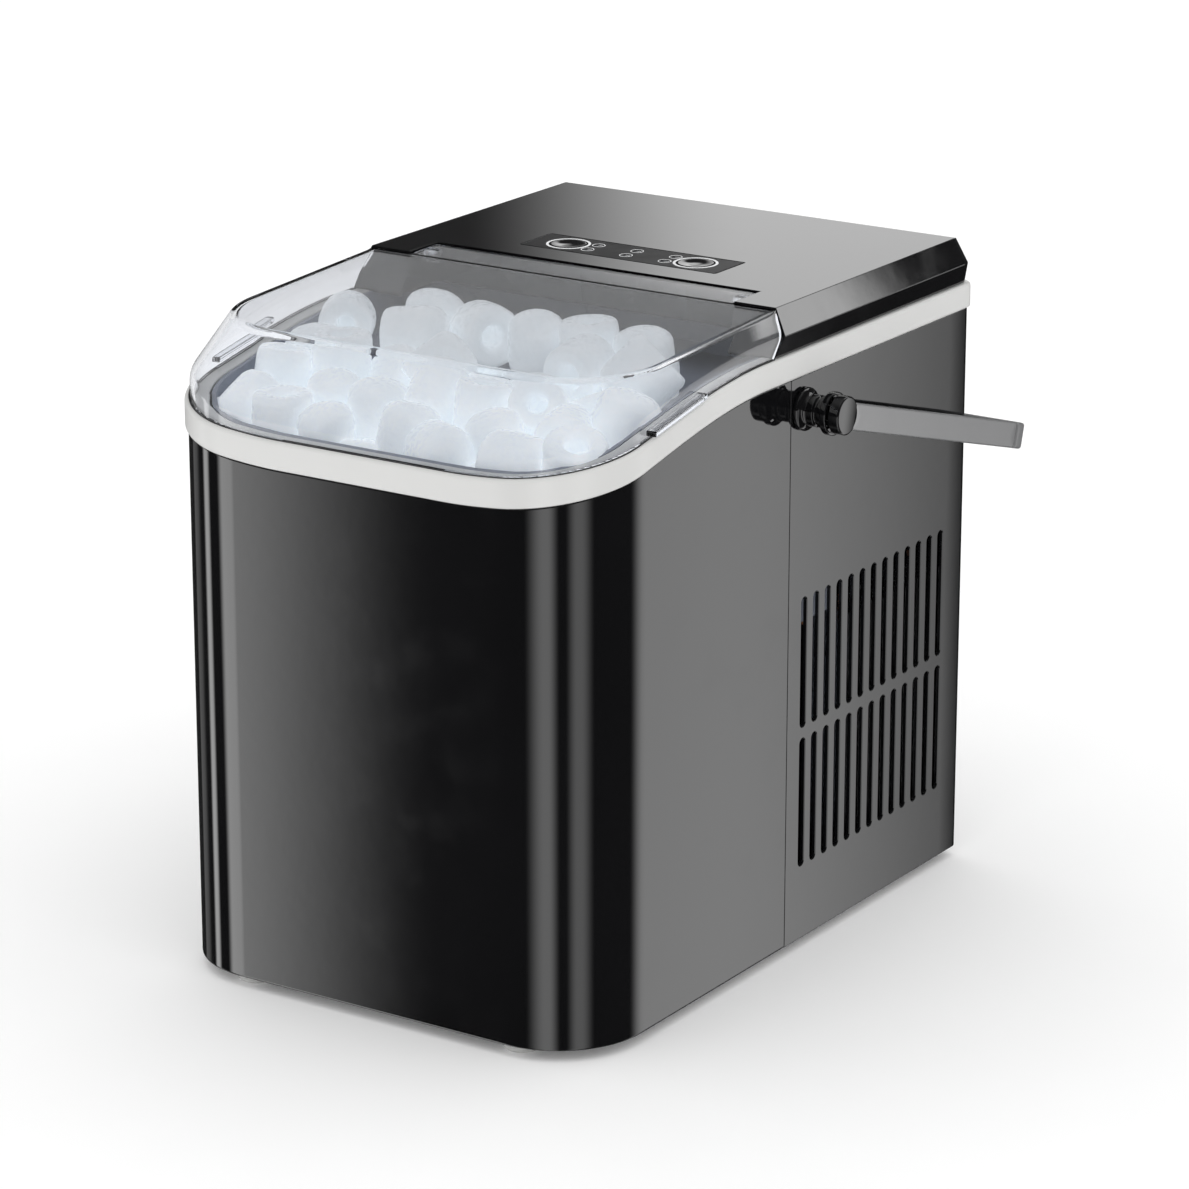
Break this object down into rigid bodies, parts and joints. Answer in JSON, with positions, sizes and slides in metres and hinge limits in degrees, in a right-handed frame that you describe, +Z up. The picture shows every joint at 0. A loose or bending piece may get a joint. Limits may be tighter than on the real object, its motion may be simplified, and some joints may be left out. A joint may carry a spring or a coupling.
{
  "type": "countertop ice maker",
  "caption": "Free-standing countertop ice maker with a hinged clear lid over a removable basket, a tilting freezing tray, key controls and a folding carry handle.",
  "frame": {"origin": "middle of the overall box on the worktop, under the feet", "axes": "+X to the right as the machine is seen from its front, the front is -Y, the back is +Y, +Z up"},
  "size_m": [0.266, 0.3306, 0.2956],
  "materials": {
    "gloss_black": "high gloss moulded black",
    "satin_black": "satin moulded black",
    "rubber": "soft grey rubber",
    "light_grey": "smooth pale warm grey",
    "white_plastic": "satin white",
    "clear": "clear smoke-tinted lid",
    "steel": "bright",
    "liner_grey": "satin blue-grey",
    "foam": "moulded foam",
    "smoke_grey": "satin smoke grey",
    "black_paint": "semi-gloss enamel",
    "aluminium": "mill finish",
    "copper": "drawn copper",
    "board_green": "circuit board"
  },
  "bodies": {
    "casing": {"base_pan": "satin_black", "capillary_tube": "copper", "compressor": "black_paint", "compressor_bracket": "steel", "compressor_grommet_1": "rubber", "compressor_grommet_2": "rubber", "compressor_grommet_3": "rubber", "condenser_coil": "copper", "condenser_fins": "aluminium", "control_board": "board_green", "control_panel": "satin_black", "discharge_pipe": "copper", "evaporator": "steel", "fan_motor": "steel", "fan_shroud": "satin_black", "fill_spout": "white_plastic", "filter_drier": "copper", "foot_front_left": "rubber", "foot_front_right": "rubber", "foot_rear_left": "rubber", "foot_rear_right": "rubber", "front_shell": "gloss_black", "handle_axle_left": "steel", "handle_axle_right": "steel", "handle_boss_left": "gloss_black", "handle_boss_right": "gloss_black", "ice_basket": "liner_grey", "ice_sensor_left": "satin_black", "ice_sensor_right": "satin_black", "indicator_lens": "white_plastic", "inner_liner": "liner_grey", "insulation": "foam", "module_frame": "white_plastic", "module_hood": "liner_grey", "power_board": "board_green", "power_inlet": "satin_black", "pump_hose": "white_plastic", "rear_housing": "gloss_black", "solenoid_valve": "black_paint", "suction_pipe": "copper", "terminal_cover": "satin_black", "top_cover": "gloss_black", "tray_motor": "satin_black", "trim_ring": "light_grey", "water_pump": "satin_black"},
    "lid": {"lid": "clear", "lid_pin_left": "steel", "lid_pin_right": "steel"},
    "carry_handle": {"handle_arm_left": "smoke_grey", "handle_arm_right": "smoke_grey", "handle_grip": "smoke_grey"},
    "power_key": {"power_button": "gloss_black"},
    "select_key": {"select_button": "gloss_black"},
    "tray": {"water_tray": "white_plastic"},
    "shovel": {"ice_shovel": "white_plastic"},
    "fan": {"fan_blade": "satin_black"},
    "drain": {"drain_plug": "satin_black", "drain_seal": "rubber"}
  },
  "joints": [
    {"name": "lid_hinge", "type": "hinge", "parent": "casing", "child": "lid", "pos_m": [0, 0.00307, 0.29], "axis": [-1, 0, 0], "range_deg": [0, 95]},
    {"name": "handle_swing", "type": "hinge", "parent": "casing", "child": "carry_handle", "pos_m": [0, 0.00457, 0.249], "axis": [1, 0, 0], "range_deg": [0, 93]},
    {"name": "power_press", "type": "slide", "parent": "casing", "child": "power_key", "axis": [0, 0, -1], "range_m": [0, 0.001], "stiffness_N_per_m": 400},
    {"name": "select_press", "type": "slide", "parent": "casing", "child": "select_key", "axis": [0, 0, -1], "range_m": [0, 0.001], "stiffness_N_per_m": 400},
    {"name": "tray_tilt", "type": "hinge", "parent": "casing", "child": "tray", "pos_m": [0, 0.00807, 0.216], "axis": [1, 0, 0], "range_deg": [0, 70]},
    {"name": "shovel_sweep", "type": "hinge", "parent": "casing", "child": "shovel", "pos_m": [0, -0.04193, 0.228], "axis": [1, 0, 0], "range_deg": [-25, 0]},
    {"name": "fan_spin", "type": "hinge", "parent": "casing", "child": "fan", "pos_m": [0.062, 0.09887, 0.0863], "axis": [1, 0, 0], "continuous": true},
    {"name": "drain_pull", "type": "slide", "parent": "casing", "child": "drain", "axis": [-1, 0, 0], "range_m": [0, 0.016]}
  ],
  "couplings": [
    {"joint": "shovel_sweep", "follows": "tray_tilt", "ratio": -0.35714}
  ]
}
